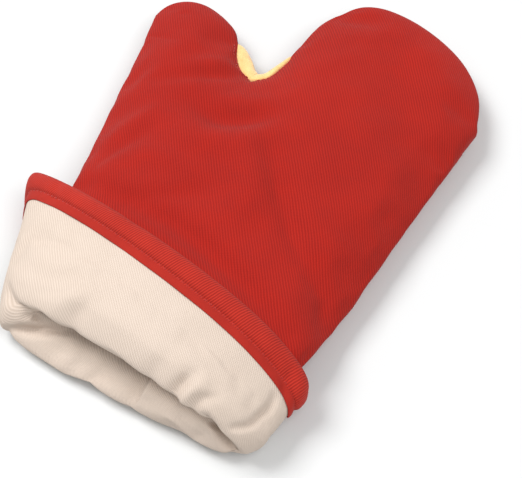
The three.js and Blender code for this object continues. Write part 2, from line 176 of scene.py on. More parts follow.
def plan_patches(depth):
    """The body, thumb and hand patches of the outline moved in by depth."""
    t_side, t_top, t_web, h_web, h_top, h_side = (
        inset(line, depth) for line in (thumb_side, thumb_top, thumb_web, hand_web, hand_top, hand_side))
    corner = (t_web[-1] + h_web[0]) / 2
    t_web = np.concatenate([t_web[:-WEB_SAMPLES_LEFT_OUT], [corner]])
    h_web = np.concatenate([[corner], h_web[WEB_SAMPLES_LEFT_OUT:]])
    left_at = np.interp(BODY_TOP_LEFT_Y, t_side[:, 1], lengths(t_side) / lengths(t_side)[-1])
    right_at = np.interp(-BODY_TOP_RIGHT_Y, -h_side[:, 1], lengths(h_side) / lengths(h_side)[-1])
    rise = np.linspace(0, 1, THUMB_ROWS + 1)
    climb = np.linspace(0, 1, HAND_ROWS + 1)
    drop = np.linspace(0, 1, BODY_ROWS + 1)
    thumb_u, hand_u = bunched(THUMB_COLUMNS), bunched(HAND_COLUMNS)
    left, right = along(t_side, [left_at])[0], along(h_side, [right_at])[0]
    first_thumb = left + (corner - left) * thumb_u[:, None]
    first_hand = corner + (right - corner) * hand_u[:, None]
    thumb = coons(first_thumb, along(t_top, thumb_u), along(t_side, left_at + (1 - left_at) * rise),
                  along(t_web[::-1], rise), thumb_u, rise)
    hand = coons(first_hand, along(h_top, hand_u), along(h_web, climb),
                 along(h_side[::-1], 1 - right_at + right_at * climb), hand_u, climb)
    first = np.concatenate([first_thumb, first_hand[1:]])
    reach = (first[:, 0] - left[0]) / (right[0] - left[0])
    body_left = along(t_side, left_at * (1 - drop))
    body_right = along(h_side, right_at + (1 - right_at) * drop)
    last = body_left[-1] + (body_right[-1] - body_left[-1]) * bunched(COLUMNS)[:, None]
    body = coons(first, last, body_left, body_right, reach, drop)
    return body, thumb, hand


body_plan, thumb_plan, hand_plan = plan_patches(0.0)
print("plan rows:", body_plan.shape, thumb_plan.shape, hand_plan.shape)

# %% [markdown]
# ## Filling the mitt
# A padded shape rises quickly at its seam and levels off inside. We could blow the panels up
# with Cloth, but the membrane equation *u minus r² times the curvature of u equals 1*, with
# u = 0 on the seam, has just that solution and is solved in one step. A power of it makes the
# edge round. The thumb, being narrow, comes out thinner than the hand by itself.

# %% Fullness
ROUNDING = 25.0  # mm from the seam to nearly full height
ROUNDNESS = 0.62  # the power: 0.5 is a round edge, more is a gentler slope


def quads(ids):
    """The quads of a grid of vertex numbers, anticlockwise where rows run downwards."""
    return np.stack([ids[1:, :-1], ids[1:, 1:], ids[:-1, 1:], ids[:-1, :-1]], axis=-1).reshape(-1, 4)


def number_plan(body, thumb, hand):
    """Gives the shared edge points one number each. Returns points, the three number grids
    and the quads, all facing up."""
    body_ids = np.arange(body.shape[0] * body.shape[1]).reshape(body.shape[:2])
    count = body_ids.size
    thumb_ids = np.arange(count, count + thumb[1:, :, 0].size).reshape(thumb.shape[0] - 1, -1)
    count += thumb_ids.size
    hand_ids = np.arange(count, count + hand[1:, :, 0].size).reshape(hand.shape[0] - 1, -1)
    thumb_ids = np.vstack([body_ids[:1, :THUMB_COLUMNS + 1], thumb_ids])
    hand_ids = np.vstack([body_ids[:1, THUMB_COLUMNS:], hand_ids])
    points = np.concatenate([body.reshape(-1, 2), thumb[1:].reshape(-1, 2), hand[1:].reshape(-1, 2)])
    faces = np.concatenate([quads(body_ids), quads(thumb_ids[::-1]), quads(hand_ids[::-1])])
    return points, body_ids, thumb_ids, hand_ids, faces


def seam_mask(count, body_ids, thumb_ids, hand_ids):
    """True for the points on the side seam."""
    seam = np.zeros(count, bool)
    for ids in (body_ids[:, 0], body_ids[:, -1], thumb_ids[:, 0], thumb_ids[:, -1], thumb_ids[-1],
                hand_ids[:, 0], hand_ids[:, -1], hand_ids[-1]):
        seam[ids] = True
    return seam


def fullness(points, faces, seam):
    """Solves the membrane equation by finite elements on the quads cut into triangles."""
    triangles = np.concatenate([faces[:, [0, 1, 2]], faces[:, [0, 2, 3]]])
    a, b, c = (points[triangles[:, k]] for k in range(3))
    area = np.abs(np.cross(b - a, c - a)) / 2
    matrix = np.zeros((len(points), len(points)))
    load = np.zeros(len(points))
    for k in range(3):
        i, j, opposite = triangles[:, k], triangles[:, (k + 1) % 3], triangles[:, (k + 2) % 3]
        to_i, to_j = points[i] - points[opposite], points[j] - points[opposite]
        weight = ROUNDING**2 * (to_i * to_j).sum(1) / (4 * area)
        for row, column, sign in ((i, j, -1), (j, i, -1), (i, i, 1), (j, j, 1)):
            np.add.at(matrix, (row, column), sign * weight)
        np.add.at(load, i, area / 3)
    matrix[np.diag_indices(len(points))] += load
    free = ~seam
    full = np.zeros(len(points))
    full[free] = np.linalg.solve(matrix[np.ix_(free, free)], load[free])
    return np.clip(full, 0, 1) ** ROUNDNESS


print("nearly full height", ROUNDING, "mm in from the seam")

# %% [markdown]
# ## Lying on the table and on the cuff
# The palm is flat where it lies on the table. Towards the wrist it climbs onto the part of
# the cuff that is turned back under it. `on_cuff` says how far up that climb a point is.

# %% Heights
HEM_LEFT, HEM_RIGHT = np.array([-93.0, -58.0]), np.array([109.0, -94.0])  # ends of the hem, plan
CLIMB = 42.0  # mm over which the palm climbs onto the cuff
HAND_SEAM, CUFF_SEAM = 16.0, 25.0  # heights of the side seam
TIP_START, TIP_LENGTH, TIP_DROP = 30.0, 120.0, 4.5  # towards the fingertips the mitt gets thinner
PALM_ROUNDING = 1.15  # the palm reaches its flat floor sooner than the back its crown
HAND_RISE, CUFF_RISE = 14.0, 8.5  # of the lining's inner face above the seam
HAND_FLOOR, CUFF_FLOOR = THICKNESS, 17.4  # of the same face above the table


def smooth(x):
    """0 below 0, 1 above 1, and a soft S between."""
    x = np.clip(x, 0, 1)
    return x * x * (3 - 2 * x)


def mix(a, b, t):
    """a where t is 0, b where it is 1."""
    return a + (b - a) * t


def soft_min(a, b, radius=1.6):
    """The lower of two heights, rounded where they cross."""
    overlap = np.clip(0.5 + 0.5 * (b - a) / radius, 0, 1)
    return mix(b, a, overlap) - radius * overlap * (1 - overlap) / 2


def on_cuff(points):
    """0 on the hand, 1 on the part that lies on the turned-back cuff."""
    share = (points[:, 0] - HEM_LEFT[0]) / (HEM_RIGHT[0] - HEM_LEFT[0])
    hem = mix(HEM_LEFT[1], HEM_RIGHT[1], share)
    return smooth(1 - (points[:, 1] - hem - 2) / CLIMB)


def raise_panels(points, full, depth):
    """Heights of the back and of the palm for the face that lies `THICKNESS - depth` outside
    the lining's inner face."""
    cuff = on_cuff(points)
    outward = THICKNESS - depth
    seam = mix(HAND_SEAM, CUFF_SEAM, cuff)
    tip = smooth((points[:, 1] - TIP_START) / TIP_LENGTH)
    rise = mix(HAND_RISE - TIP_DROP * tip, CUFF_RISE, cuff) + outward
    drop = seam - (mix(HAND_FLOOR, CUFF_FLOOR, cuff) - outward)
    back = seam + rise * full
    palm = seam - soft_min(rise * PALM_ROUNDING * full, drop)
    return back, palm


print("the palm climbs", CUFF_FLOOR - HAND_FLOOR, "mm onto the cuff")

# %% [markdown]
# ## Rings round the cuff
# At the wrist the mitt is a plain tube that runs down to the lip, turns over and comes back
# up outside, as far as the hem. Each ring below is one station on that way: its left and
# right ends, the middle of its top and of its bottom, and how square its section is. A
# simulation that turns a sleeve back is slow and hard to steer, so the way is drawn.

# %% Rings


def ring(left, right, seam, top, bottom, power=(2.6, 2.6), grow=0.0):
    """A closed ring of points. left and right are the ends in plan and seam their heights.
    top and bottom give y near each end, the height near the ends and the height in the
    middle. Half by half, a point's way from the seam to that line follows a superellipse,
    (1 - |2f - 1|^p)^(1/p). `grow` moves the ring outwards."""
    f = bunched(COLUMNS)
    power = mix(power[0], power[1], f)
    full = (1 - np.abs(2 * f - 1) ** power) ** (1 / power)
    x = mix(left[0] - grow, right[0] + grow, f)
    ends = mix(left[1], right[1], f)
    middle = mix(seam[0], seam[1], f)
    halves = []
    for (y_left, y_right, shoulder, crown), out in ((top, grow), (bottom, -grow)):
        y = mix(ends, mix(y_left, y_right, f), full)
        z = mix(shoulder, crown, 1 - (2 * f - 1) ** 2) + out
        halves.append(np.stack([x, y, mix(middle, z, full)], axis=1))
    return np.concatenate([halves[0], halves[1][-2:0:-1]])


INSIDE = [
    dict(left=(-50, -116), right=(87, -122), seam=(25, 25), top=(-114, -118, 29, 30.5),
         bottom=(-116, -120, 17.4, 17.4)),
    dict(left=(-39, -144), right=(91, -142), seam=(21, 20), top=(-135, -137, 27, 30),
         bottom=(-147, -143, 16.4, 16.4)),
]
LIP = dict(left=(-53, -153), right=(99, -144), seam=(15, 14), top=(-142, -145, 33, 39),
           bottom=(-159, -150, 8, 8), power=(3.8, 2.7))
HIDDEN_LIP = dict(left=(-41, -139), right=(91, -131), seam=(19, 18), top=(-127, -129, 31, 37),
                  bottom=(-144, -137, 10, 10))
OUTSIDE = [
    dict(left=(-62, -145), right=(105, -136), seam=(15, 14), top=(-130, -138, 40, 48),
         bottom=(-150, -143, 0.8, 0.8), power=(3.2, 2.6)),
    dict(left=(-73.5, -121), right=(107, -127), seam=(15, 15), top=(-110, -124, 40, 51),
         bottom=(-127, -125, 0.2, 0.2), power=(3.0, 2.7)),
    dict(left=(-85, -95), right=(109, -115), seam=(15, 16), top=(-86, -107, 36, 52),
         bottom=(-99, -109, 1.5, 1.5), power=(5.5, 2.7)),
    dict(left=(-94, -74), right=(110, -98), seam=(15, 17), top=(-71, -89, 31, 52),
         bottom=(-77, -91, 1.8, 1.8), power=(8.0, 2.9)),
]
HEM_BAND = 20.0  # width of the hem tape, between the last two rings
print("rings inside, at the lip and outside:", len(INSIDE), 1, len(OUTSIDE))

# %% [markdown]
# ## Meshes
# One helper puts numpy points, faces and weave coordinates into a mesh. The weave
# coordinates are the cloth's own: millimetres along and across the thread, so that the twill
# keeps its size wherever the cloth bends.

# %% From arrays to a mesh


def make_piece(name, points, faces, weave=None, levels=1):
    """A smooth-shaded object from points in drawn millimetres, less those that no face uses.
    weave holds one pair of cloth coordinates per face corner, in millimetres."""
    used, faces = np.unique(faces, return_inverse=True)
    faces = faces.reshape(-1, 4)
    points = (points[used] + SHIFT) * MM
    mesh = bpy.data.meshes.new(name)
    mesh.from_pydata(points.tolist(), [], faces.tolist())
    mesh.polygons.foreach_set("use_smooth", np.ones(len(faces), bool))
    if weave is not None:
        layer = mesh.uv_layers.new(name="Weave")
        layer.data.foreach_set("uv", (weave * MM).astype(np.float32).ravel())
    mesh.update()
    piece = bpy.data.objects.new(name, mesh)
    bpy.context.scene.collection.objects.link(piece)
    if levels:
        finish = piece.modifiers.new("Smooth", "SUBSURF")
        finish.levels = finish.render_levels = levels
    print(name, len(points), "points,", len(faces), "faces")
    return piece


def tube_quads(ids):
    """Quads of rings of vertex numbers that close on themselves."""
    return quads(np.hstack([ids, ids[:, :1]]))


def ring_knots(rings):
    """Knots for a curve through rings: the mean distances from ring to ring, added up."""
    steps = np.linalg.norm(np.diff(rings, axis=0), axis=2).mean(axis=1)
    return np.concatenate([[0.0], np.cumsum(steps)])


def tube_weave(rings, start=0.0):
    """Cloth coordinates of rings: distance round the ring and distance along the tube."""
    around = np.linalg.norm(np.diff(rings, axis=1, append=rings[:, :1]), axis=2)
    u = np.concatenate([np.zeros((len(rings), 1)), np.cumsum(around, axis=1)], axis=1)
    u -= u[:, -1:] / 4
    v = np.repeat((start - ring_knots(rings))[:, None], u.shape[1], axis=1)
    grid = np.stack([u, v], axis=-1)
    return np.stack([grid[1:, :-1], grid[1:, 1:], grid[:-1, 1:], grid[:-1, :-1]], axis=2).reshape(-1, 2)


def turned_over(faces, weave):
    """Faces seen from their other side, with their cloth coordinates in the same order."""
    return faces[:, ::-1], weave.reshape(-1, 4, 2)[:, ::-1].reshape(-1, 2)


# %% [markdown]
# ## Pressing folds into cloth
# Thick cloth doesn't lie evenly: it has soft valleys and ridges where it was handled, and
# sharp creases where it is pinched. Each one is a line over the surface, with a width and a
# depth, and the surface is pushed in along its own normal. A negative depth makes a ridge.

# %% Folds
FOLD_POINTS = 36  # places along a fold at which its distance is measured


def vertex_normals(points, faces):
    """Unit normals: the sum of the cross products of the diagonals of the quads around each
    point."""
    cross = np.cross(points[faces[:, 2]] - points[faces[:, 0]], points[faces[:, 3]] - points[faces[:, 1]])
    total = np.zeros_like(points)
    for k in range(4):
        np.add.at(total, faces[:, k], cross)
    return total / (np.linalg.norm(total, axis=1, keepdims=True) + 1e-9)


def press(points, faces, folds, reach=9.0):
    """Moves points in by depth · fade · exp(-(distance / width)²). The distance to the line is
    measured along the surface, so marks may lie up to `reach` above or below it. The fade
    lowers both ends of the fold."""
    normals = vertex_normals(points, faces)
    moved = points.copy()
    for marks, width, depth in folds:
        line = along(outline(*marks), np.linspace(0, 1, FOLD_POINTS))
        margin = 3 * width + reach
        near = (points > line.min(0) - margin).all(1) & (points < line.max(0) + margin).all(1)
        gap = points[near, None] - line[None]
        rise = np.einsum("ijk,ik->ij", gap, normals[near])
        beyond = np.maximum(np.abs(rise) - reach, 0) * 4
        flat = np.sqrt(np.maximum((gap**2).sum(2) - rise**2, 0)) + beyond
        place = flat.argmin(1) / (FOLD_POINTS - 1)
        fade = np.sin(np.pi * (0.08 + 0.84 * place)) ** 0.7
        amount = depth * fade * np.exp(-(flat.min(1) / width) ** 2)
        moved[near] -= amount[:, None] * normals[near]
    return moved


def uneven(points, faces, size, height):
    """Slight unevenness: the product of sines across three directions, moved along the
    normals."""
    wave = 2 * np.pi * points / size
    amount = np.sin(wave @ (1.0, 0.35, 0.2)) * np.sin(wave @ (-0.4, 0.9, 0.3)) + 0.6 * np.sin(
        wave @ (0.7, -0.8, 0.5) * 1.7)
    return points + height * amount[:, None] * vertex_normals(points, faces)


# %% [markdown]
# ## Letting the cloth settle
# Blender's Cloth gives what no formula does: small puckers where the cloth has a little more
# width than its seam. It grows by about one percent and is blown up lightly, for twenty
# frames, while its seams are held. No point may move further than a limit, and only the
# result is kept.

# %% Cloth
SETTLE_FRAMES = 20


def settle(points, faces, held, limit, growth=0.012, pressure=4.0):
    """Runs Cloth on points in mm with the held ones pinned, and returns them moved by no more
    than the limit. growth is the share by which the cloth gets larger."""
    mesh = bpy.data.meshes.new("settling")
    mesh.from_pydata((points * MM).tolist(), [], faces.tolist())
    cloth_piece = bpy.data.objects.new("settling", mesh)
    scene = bpy.context.scene
    scene.collection.objects.link(cloth_piece)
    cloth_piece.vertex_groups.new(name="held").add(np.flatnonzero(held).tolist(), 1.0, "REPLACE")
    cloth = cloth_piece.modifiers.new("Cloth", "CLOTH")
    cloth.settings.quality = 6
    cloth.settings.mass = 0.3
    cloth.settings.tension_stiffness = cloth.settings.compression_stiffness = 20
    cloth.settings.bending_stiffness = 3.0
    cloth.settings.shrink_min = -growth
    cloth.settings.use_pressure = True
    cloth.settings.uniform_pressure_force = pressure
    cloth.settings.vertex_group_mass = "held"
    cloth.settings.effector_weights.gravity = 0
    cloth.collision_settings.use_collision = False
    cloth.point_cache.frame_start, cloth.point_cache.frame_end = 1, SETTLE_FRAMES
    for frame_number in range(1, SETTLE_FRAMES + 1):
        scene.frame_set(frame_number)
    done = cloth_piece.evaluated_get(bpy.context.evaluated_depsgraph_get()).data
    moved = np.empty(len(points) * 3, np.float32)
    done.vertices.foreach_get("co", moved)
    move = moved.reshape(-1, 3) / MM - points
    bpy.data.objects.remove(cloth_piece)
    scene.frame_set(1)
    far = np.linalg.norm(move, axis=1)
    print("cloth moved up to", round(float(far.max()), 1), "mm, mean", round(float(far.mean()), 2))
    return points + move * np.minimum(1, limit / np.maximum(far, 1e-6))[:, None]


# %% [markdown]
# ## The red shell
# The shell is the outside: a back and a palm of red twill. Both panels share the seam, so
# they are one mesh. At the wrist the shell goes on down inside the cuff, turns at the fold,
# and comes back up as the cuff's hidden inner face, so from behind there is cloth to see and
# not a hole. The fold list holds a place, a width and a depth for each soft valley, such as
# the one below the web, where the thumb pulls on the hand.

# %% Panels and the places of their folds
SHELL_FOLDS = [
    (((-70, 22, 32), (-58, 32, 32), (-46, 41, 31), (-31, 54, 26)), 4.2, 4.3),
    (((-60, 40, 30), (-50, 50, 30), (-42, 58, 27)), 6.0, -2.4),
    (((-42, 17, 34), (-22, 16, 34), (-9, 22, 34), (4, 37, 34)), 7.0, 6.5),
    (((-42, 0, 35), (-22, -3, 35), (-4, 5, 35), (10, 20, 35)), 9.0, -3.2),
    (((12, 12, 36), (28, -2, 36), (48, -19, 36), (66, -34, 36), (86, -43, 34)), 6.0, 4.6),
    (((22, -34, 37), (22, -16, 37), (12, 0, 36), (0, 14, 35)), 13.0, -4.1),
    (((54, -4, 36), (74, -18, 36), (94, -24, 34)), 9.0, -1.8),
    (((28, 128, 33), (53, 100, 35), (74, 74, 35), (96, 44, 33)), 19.0, 4.5),
    (((56, 134, 32), (80, 118, 32), (97, 92, 29), (100, 60, 29)), 8.0, -0.8),
    (((-66, -53, 36), (-63, -35, 35), (-52, -14, 35)), 4.5, 2.7),
    (((-76, -40, 33), (-71, -20, 33), (-60, -4, 34)), 5.5, -2.0),
    (((-34, -58, 40), (-19, -48, 39), (2, -33, 38)), 4.2, 2.7),
    (((-60, -62, 38), (-22, -61, 41), (-2, -60, 41), (24, -64, 41), (58, -72, 41), (88, -82, 39)), 6.5, 6.8),
    (((-50, -30, 37), (-30, -26, 37), (-8, -22, 37)), 7.0, -2.7),
    (((99, -62, 25), (95, -52, 28), (86, -45, 31)), 4.5, 3.2),
    (((106, -58, 17), (100, -60, 25)), 6.0, 2.7),
]


def cloth_coordinates(plan, faces, full, extra=6.0):
    """Cloth coordinates of a panel: its plan, spread a little near the seam where the cloth
    turns down."""
    away = plan - np.array([0.0, 20.0])
    away /= np.linalg.norm(away, axis=1, keepdims=True) + 1e-6
    return (plan + away * extra * (1 - full)[:, None])[faces].reshape(-1, 2)


def two_panels(depth):
    """Both panels of the face at a depth under the shell's outside, one at the seam. Returns
    points, faces, cloth coordinates, the ring of point numbers round the wrist, and fullness."""
    plan, body_ids, thumb_ids, hand_ids, faces = number_plan(*plan_patches(depth))
    count = len(plan)
    seam = seam_mask(count, body_ids, thumb_ids, hand_ids)
    full = fullness(plan, faces, seam)
    back, palm = raise_panels(plan, full, depth)
    points = np.concatenate([np.column_stack([plan, back]), np.column_stack([plan, palm])])
    palm_of = np.where(seam, np.arange(count), np.arange(count) + count)
    weave = [cloth_coordinates(plan, turned, full) for turned in (faces, faces[:, ::-1])]
    wrist = np.concatenate([body_ids[-1], palm_of[body_ids[-1]][-2:0:-1]])
    return points, [faces, palm_of[faces][:, ::-1]], weave, wrist, full


def add_tube(points, wrist, rows):
    """Joins a tube to the panels. Its first ring is the wrist itself. Returns all points and
    the tube's grid of point numbers."""
    ids = len(points) + np.arange(rows[1:, :, 0].size).reshape(len(rows) - 1, -1)
    return np.concatenate([points, rows[1:].reshape(-1, 3)]), np.vstack([wrist, ids])


# %% Shell points
SHELL_TUBE_ROWS, TUBE_START = 56, -80.0  # TUBE_START is the wrist's place along the thread, mm

panels, shell_faces, shell_weave, wrist, shell_full = two_panels(0.0)
panel_size = len(shell_full)
outer = [ring(**r, grow=-THICKNESS) for r in OUTSIDE[1:]]
marks = np.stack([panels[wrist], ring(**INSIDE[0], grow=THICKNESS), ring(**HIDDEN_LIP), *outer])
knots = ring_knots(marks)
rows = through(marks, knots, np.linspace(0, knots[-1], SHELL_TUBE_ROWS))
shell_points, tube_ids = add_tube(panels, wrist, rows)
shell_faces = np.concatenate([*shell_faces, tube_quads(tube_ids)])
shell_weave = np.concatenate([*shell_weave, tube_weave(rows, TUBE_START)])
print("shell points:", len(shell_points))

# %% [markdown]
# ### Folds, the seam and settling
# The folds fade out at the seam, where all the layers are sewn together and the cloth is
# stiff. The seam itself is drawn in by a millimetre, except near the web, where the guard
# strip fills it. Then the panels settle, held at the seam and at the wrist.

# %% Shell folds
SEAM_GROOVE, GROOVE_FROM_WEB = 1.0, 45.0  # mm
NEAR_SEAM = 0.01  # fullness

pressed = press(shell_points, shell_faces, SHELL_FOLDS)
pressed = uneven(pressed, shell_faces, size=48.0, height=0.3)
share = smooth(shell_full * 1.6)[:, None]
shell_points[:panel_size] = mix(shell_points[:panel_size], pressed[:panel_size], share)
at_seam = shell_full < NEAR_SEAM
from_web = np.linalg.norm(panels[:panel_size, :2] - WEB, axis=1)
side_seam = np.flatnonzero(at_seam & (from_web > GROOVE_FROM_WEB))
shell_points[side_seam] -= SEAM_GROOVE * vertex_normals(shell_points, shell_faces)[side_seam]
held = np.ones(len(shell_points), bool)
held[:2 * panel_size] = np.tile(at_seam, 2)
held[wrist] = True
shell_points = settle(shell_points, shell_faces, held, limit=2.2)
shell_points[:, 2] = np.maximum(shell_points[:, 2], 0.0)
shell = make_piece("mitt_shell", shell_points, shell_faces, shell_weave)

# %% [markdown]
# ## The lining
# The lining is the cream cloth that touches the hand: the same kind of surface, one cloth
# thickness further in. It runs from the fingertips to the lip, over it, and back along the
# outside of the cuff to the hem, so on the cuff it is what we see. Its folds are sharper
# than the shell's, because the cloth is turned through a half circle at the lip.

# %% Lining folds
LINING_FOLDS = [
    (((-61, -135, 24), (-54, -142, 27), (-46, -146, 28), (-38, -146, 27), (-26, -143, 30)), 3.2, 4.5),
    (((-50, -152, 11), (-44, -151, 14), (-36, -148, 16), (-28, -143, 18), (-18, -137, 19)), 3.0, 6.0),
    (((-55, -149, 14), (-47, -151, 18), (-40, -149, 21)), 4.0, -2.2),
    (((103, -113, 33), (103, -120, 31), (101, -127, 31), (98, -136, 32), (92, -142, 32)), 1.9, 4.2),
    (((108, -118, 22), (107, -127, 20), (104, -136, 20)), 5.0, -1.6),
    (((78, -146, 34), (83, -144, 26), (90, -145, 17), (100, -147, 10)), 2.6, 6.5),
    (((57, -149, 35), (58, -143, 41), (61, -132, 44)), 2.4, 4.5),
    (((63, -149, 34), (64, -142, 40), (68, -132, 44)), 3.2, -2.4),
    (((70, -148, 34), (71, -142, 40), (78, -134, 43)), 2.2, 2.2),
    (((42, -146, 36), (43, -138, 42), (46, -128, 46)), 4.0, 1.3),
    (((-10, -143, 36), (-9, -136, 44), (-4, -124, 48)), 4.0, 1.5),
    (((-24, -143, 36), (-20, -133, 44), (-12, -126, 47)), 5.0, -1.4),
    (((-62, -107, 38), (-50, -108, 44), (-32, -108, 47)), 3.5, 1.1),
    (((-62, -116, 38), (-46, -119, 44), (-26, -117, 48)), 4.5, -1.0),
    (((-66, -122, 30), (-52, -127, 40), (-36, -128, 45)), 4.0, 1.0),
    (((30, -112, 50), (50, -118, 50), (72, -122, 47)), 6.0, 0.8),
    (((34, -160, 5), (33, -153, 10), (32, -144, 16), (31, -130, 18), (30, -116, 18)), 2.6, 1.6),
    (((4, -156, 8), (10, -148, 14), (12, -136, 18)), 4.0, 1.2),
    (((-14, -157, 8), (-10, -149, 14), (-8, -138, 18)), 4.5, -1.0),
]
print(len(LINING_FOLDS), "folds in the lining")

# %% [markdown]
# ### A piece set into the mouth
# The lining's lower side seems to be in two pieces, and the right one lies higher. The step
# between them has to be sharp, so the grid's columns are drawn together there first.

# %% Lining points
LINING_TUBE_ROWS, HEM_RINGS = 100, 9
PANEL_EDGE = 36.0  # x of the step between the pieces
PANEL_RISE, PANEL_SINK = 3.6, 2.4  # mm, right and left of the step
STEP_WIDTH, DRAWN_TOGETHER, DRAWN_WIDTH = 0.8, 0.82, 4.0
LIP_FADE, SIDE_FADE, RIGHT_END = 14.0, 30.0, 94.0


def set_in_panel(rows, inside):
    """Rows with the step in their lower half, wherever `inside`, the distance to the lip along
    the cloth, is positive."""
    lower = (inside[:, None] > 0) & (np.arange(rows.shape[1]) > COLUMNS)[None]
    x = rows[..., 0]
    past = x - PANEL_EDGE
    from_left = x - x.min(axis=1, keepdims=True)
    x = x - past * DRAWN_TOGETHER * lower * np.exp(-(past / DRAWN_WIDTH) ** 2)
    rise = PANEL_RISE * smooth((x - PANEL_EDGE) / STEP_WIDTH + 0.5) * smooth((RIGHT_END - x) / SIDE_FADE)
    sink = PANEL_SINK * smooth((PANEL_EDGE - x) / STEP_WIDTH + 0.5) * smooth(from_left / SIDE_FADE)
    z = rows[..., 2] + (rise - sink) * lower * smooth(inside / LIP_FADE)[:, None]
    return np.stack([x, rows[..., 1], z], axis=2)


panels, lining_faces, lining_weave, wrist, full = two_panels(THICKNESS)
marks = np.stack([panels[wrist], *(ring(**r) for r in (*INSIDE, LIP, *OUTSIDE))])
knots = ring_knots(marks)
places = np.linspace(0, knots[-1], LINING_TUBE_ROWS)
lip_at = knots[1 + len(INSIDE)]
rows = set_in_panel(through(marks, knots, places), lip_at - places)
hem_rings = through(marks, knots, np.linspace(knots[-2], knots[-1], HEM_RINGS))
lining_points, tube_ids = add_tube(panels, wrist, rows)
lining_faces = np.concatenate([*lining_faces, tube_quads(tube_ids)])
lining_weave = np.concatenate([*lining_weave, tube_weave(rows, TUBE_START)])
print("lining points:", len(lining_points))

# %% [markdown]
# ### Folding and settling the lining
# The shell's folds go into the lining too, so that the one never shows through the other.
# The lining's faces look into the mouth. On the turned-back cuff that same side is outside.

# %% Lining
FREE_ROWS = slice(30, -30)  # the rings near the lip

lining_points = press(lining_points, lining_faces, SHELL_FOLDS, reach=13.0)
lining_faces, lining_weave = turned_over(lining_faces, lining_weave)
lining_points = press(lining_points, lining_faces, LINING_FOLDS)
lining_points = uneven(lining_points, lining_faces, size=38.0, height=0.22)
held = np.ones(len(lining_points), bool)
held[tube_ids[FREE_ROWS]] = False
lining_points = settle(lining_points, lining_faces, held, limit=1.5)
lining_points[:, 2] = np.maximum(lining_points[:, 2], 0.0)
lining = make_piece("cuff_lining", lining_points, lining_faces, lining_weave)

# %% [markdown]
# ## The hem tape
# A strip of the shell's cloth, cut on the bias, is folded over the raw edge of the cuff and
# sewn through. In the section below, each pair is a distance in from the hem and a height
# above the lining. It runs over the top, round the edge and back under the cuff's layers.
# The rings that the lining gives carry the section round the hem.

# %% Tape
TAPE_FOLDS = [
    (((-70, -71, 44), (-69, -78, 44), (-68, -87, 43)), 1.8, 1.3),
    (((-68, -87, 43), (-76, -90, 37), (-84, -91, 28)), 1.5, 1.0),
    (((101, -96, 37), (103, -103, 36), (107, -111, 31)), 2.2, 2.0),
    (((106, -94, 30), (109, -102, 27), (110, -110, 22)), 4.0, -1.2),
    (((40, -86, 51), (48, -91, 51), (50, -96, 51)), 3.0, 0.5),
    (((-20, -70, 51), (-14, -78, 51), (-12, -84, 51)), 3.0, 0.5),
]
STITCH_LINE = 13.5  # mm from the hem edge
TAPE_SECTION = np.array([
    (HEM_BAND, 0.1), (HEM_BAND + 0.4, 0.6), (HEM_BAND - 0.3, 1.1), (HEM_BAND - 2.2, 1.3),
    (STITCH_LINE + 2.2, 1.2), (STITCH_LINE + 0.8, 0.8), (STITCH_LINE, 0.35), (STITCH_LINE - 0.6, 1.2),
    (STITCH_LINE - 1.8, 2.5), (8.5, 3.2), (4.5, 3.2), (1.3, 2.4), (-1.0, 0.9), (-2.0, -1.2),
    (-2.1, -3.5), (-1.7, -5.9), (-0.4, -7.6), (2.0, -8.4), (7.0, -8.5), (12.0, -8.3), (12.3, -7.6),
    (7.0, -7.4), (0.3, -6.6), (-0.6, -3.5), (0.3, -0.5), (8.0, 0.1),
])


def ring_frames(rings):
    """Unit directions at the points of the last of some rings: outward from the cloth, and
    along it towards the hem."""
    down = rings[-1] - rings[-2]
    down /= np.linalg.norm(down, axis=1, keepdims=True)
    around = np.roll(rings[-1], -1, axis=0) - np.roll(rings[-1], 1, axis=0)
    normal = np.cross(around, down)
    return normal / np.linalg.norm(normal, axis=1, keepdims=True), down


def on_hem(inset_mm, height):
    """The ring of points at a distance in from the hem and a height above the lining."""
    place = np.clip(1 - inset_mm / HEM_BAND, -0.3, 1)
    rings = through(hem_rings, np.linspace(0, 1, HEM_RINGS), np.array([place - 0.02, place]))
    normal, down = ring_frames(rings)
    return rings[-1] + height * normal + max(0.0, -inset_mm) * down


rows = np.stack([on_hem(inset_mm, height) for inset_mm, height in TAPE_SECTION])
tape_ids = np.arange(rows[..., 0].size).reshape(rows.shape[:2])
closed_ids, closed_rows = np.vstack([tape_ids, tape_ids[:1]]), np.concatenate([rows, rows[:1]])
tape_faces, tape_weave = turned_over(tube_quads(closed_ids), tube_weave(closed_rows))
tape_points = press(rows.reshape(-1, 3), tape_faces, TAPE_FOLDS, reach=5.0)
tape_points[:, 2] = np.maximum(tape_points[:, 2], 0.0)
tape = make_piece("hem_tape", tape_points, tape_faces, tape_weave)

# %% [markdown]
# ## The guard strip in the web of the thumb
# A strip of yellow felt is let in between the two red edges in the web of the thumb, to
# guard that seam from heat and wear. It bulges out of the notch like a half-round moulding,
# full at the web and running out at both ends, so its section is carried along the seam.

# %% Guard strip
GUARD_STAND, GUARD_HALF_HEIGHT = 12.5, 3.8  # mm
GUARD_STEPS, GUARD_SIDES = 60, 20
GUARD_FROM, GUARD_TO = 165, 160  # samples of the thumb's and of the hand's side of the web
HAND_STAND, BACKING = 4.5, 2.0  # mm by which it stands out on the hand's side, and lies behind


def web_path(fractions):
    """The seam round the web, in plan, and its unit directions into the notch."""
    line = along(np.concatenate([thumb_web[GUARD_FROM:], hand_web[1:GUARD_TO]]), np.linspace(0, 1, 60))
    knots = lengths(line) / lengths(line)[-1]
    points = through(line, knots, fractions)
    ahead = through(line, knots, np.clip(fractions + 0.03, 0, 1)) - through(
        line, knots, np.clip(fractions - 0.03, 0, 1))
    ahead /= np.linalg.norm(ahead, axis=1, keepdims=True)
    return points, np.stack([-ahead[:, 1], ahead[:, 0]], axis=1)


